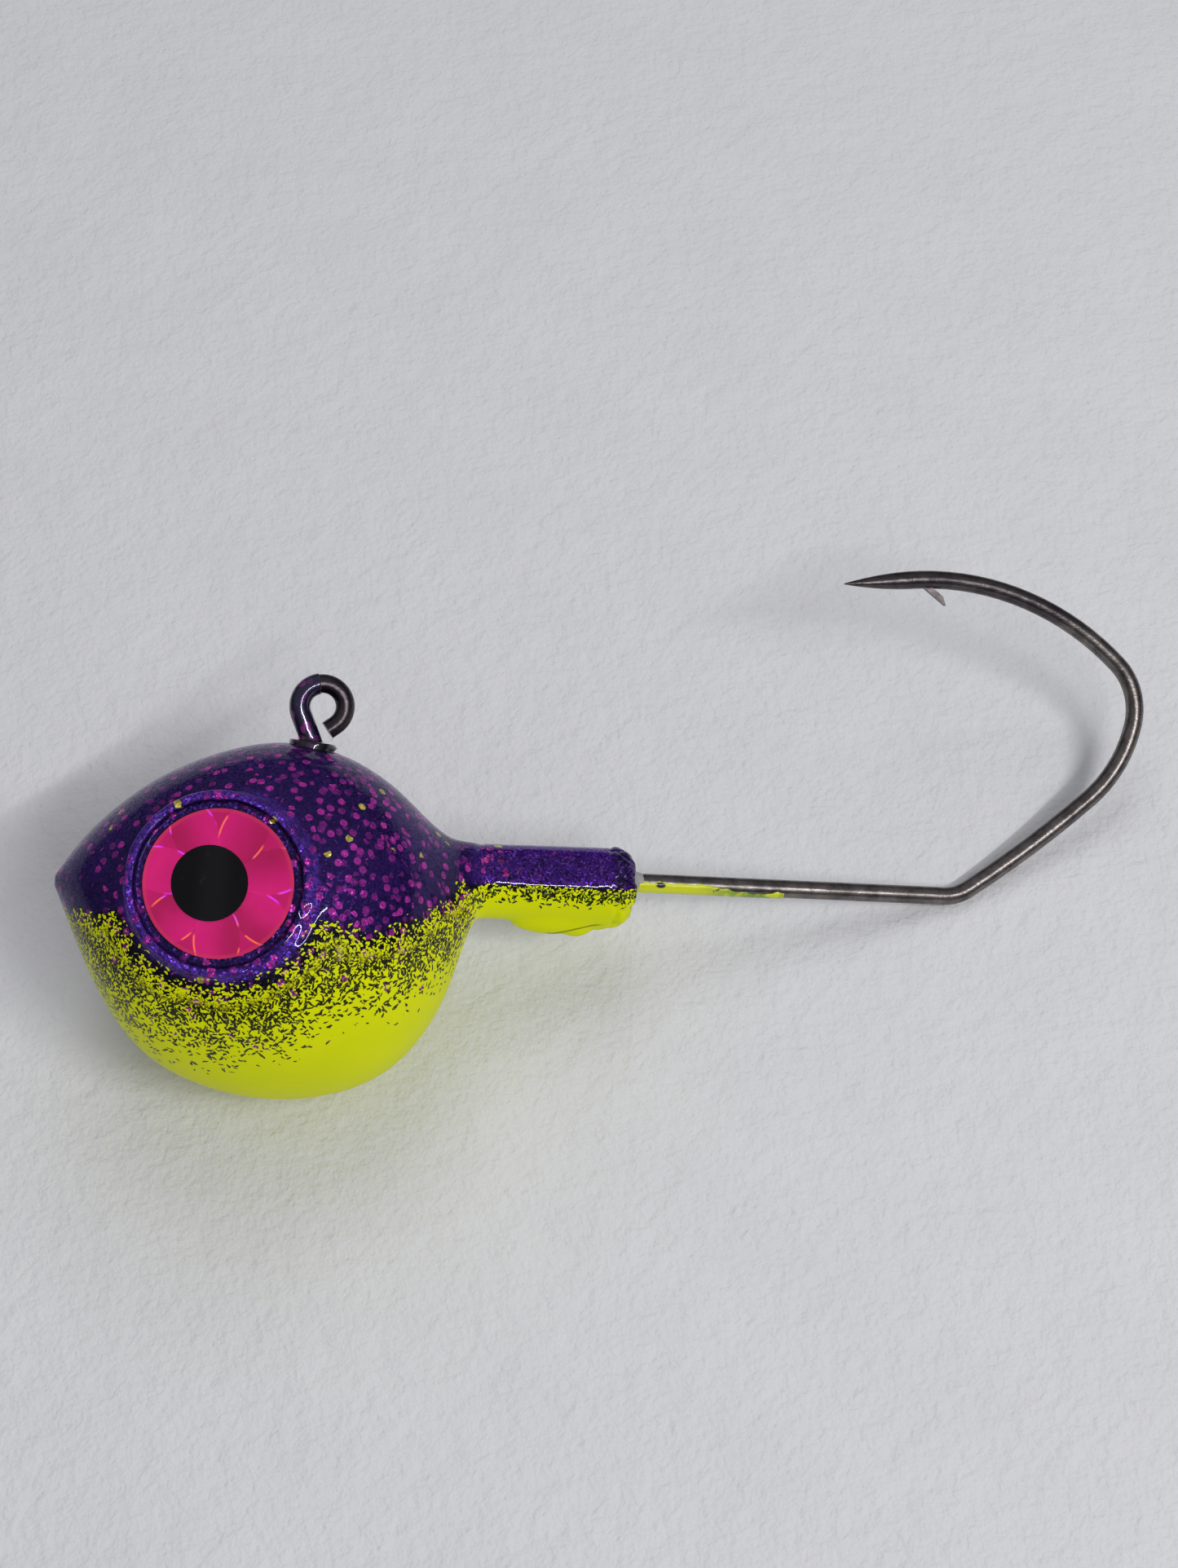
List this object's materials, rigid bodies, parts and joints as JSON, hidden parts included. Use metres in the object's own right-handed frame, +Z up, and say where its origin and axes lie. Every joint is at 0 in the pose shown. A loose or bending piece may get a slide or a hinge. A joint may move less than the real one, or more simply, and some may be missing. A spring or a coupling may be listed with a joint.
{
  "type": "jig head",
  "caption": "Round-nosed lead jig head with a keeper collar, an upright line eye and a wide sickle-bend barbed hook, powder coated in two colours with large stick-on eyes.",
  "frame": {"origin": "middle of the footprint, on the surface the jig lies on", "axes": "+Z up from that surface; +X along the jig from nose to hook bend, level with the surface; the jig lies on its right flank, so its line eye leans up and to +Y and its hook's knee touches the surface"},
  "size_m": [0.0558, 0.0244, 0.0167],
  "materials": {
    "lead": "bare grey cast lead under the paint",
    "hook_wire": "black nickel plated wire",
    "purple_coat": "glossy translucent violet powder coat with magenta glitter",
    "chartreuse_coat": "glossy chartreuse powder coat with a dark speckled border",
    "eye_foil": "pink holographic foil",
    "eye_pupil": "printed black",
    "eye_glue": "white foam glue pad",
    "clear_resin": "glossy clear coat pooled at the shank"
  },
  "bodies": {
    "root": {"hook": "hook_wire", "lead_head": "lead", "purple_coat": "purple_coat", "chartreuse_coat": "chartreuse_coat", "line_eye_paint": "purple_coat", "shank_meniscus": "clear_resin", "shank_paint": "chartreuse_coat", "left_eye_adhesive": "eye_glue", "left_eye_film": "eye_foil", "left_eye_pupil": "eye_pupil", "right_eye_adhesive": "eye_glue", "right_eye_film": "eye_foil", "right_eye_pupil": "eye_pupil"}
  },
  "joints": []
}
